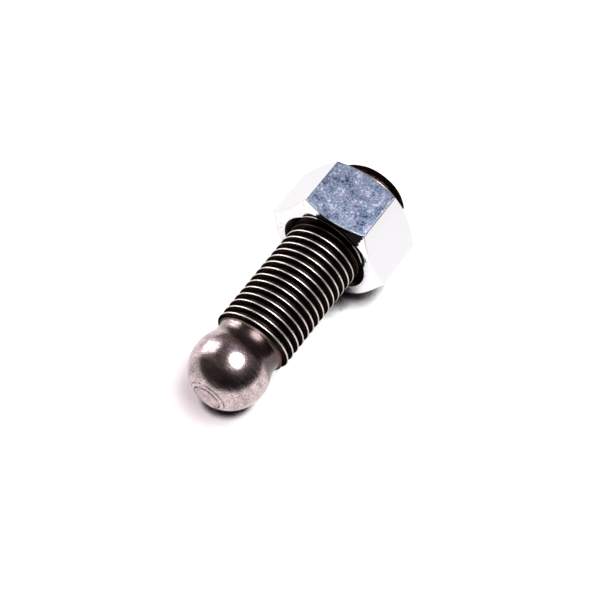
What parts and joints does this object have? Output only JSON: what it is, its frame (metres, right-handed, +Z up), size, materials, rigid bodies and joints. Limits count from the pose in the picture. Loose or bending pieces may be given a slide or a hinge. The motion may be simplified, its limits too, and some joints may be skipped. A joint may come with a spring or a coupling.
{
  "type": "rocker arm adjusting screw",
  "caption": "Ball-ended adjusting screw for a rocker arm, with a ground neck, fine thread, driver slot and a hexagon lock nut.",
  "frame": {"origin": "on the resting surface, below the middle of the object's box", "axes": "+Z up; +X along the screw, from the ball to the slotted end, as seen from above; +Y to the left of that"},
  "size_m": [0.0354, 0.0164, 0.0151],
  "materials": {
    "screw_steel": "hardened steel, black oxide in the thread, bright worn crests, ground ball and neck with a faint pink heat tint",
    "nut_zinc": "zinc plated with a pale blue tint"
  },
  "bodies": {
    "screw": {"adjusting_screw": "screw_steel"},
    "nut": {"lock_nut": "nut_zinc"}
  },
  "joints": [
    {"name": "nut_travel", "type": "slide", "parent": "screw", "child": "nut", "axis": [0.9931, 0, 0.1174], "range_m": [-0.01482, 0.00212]}
  ]
}
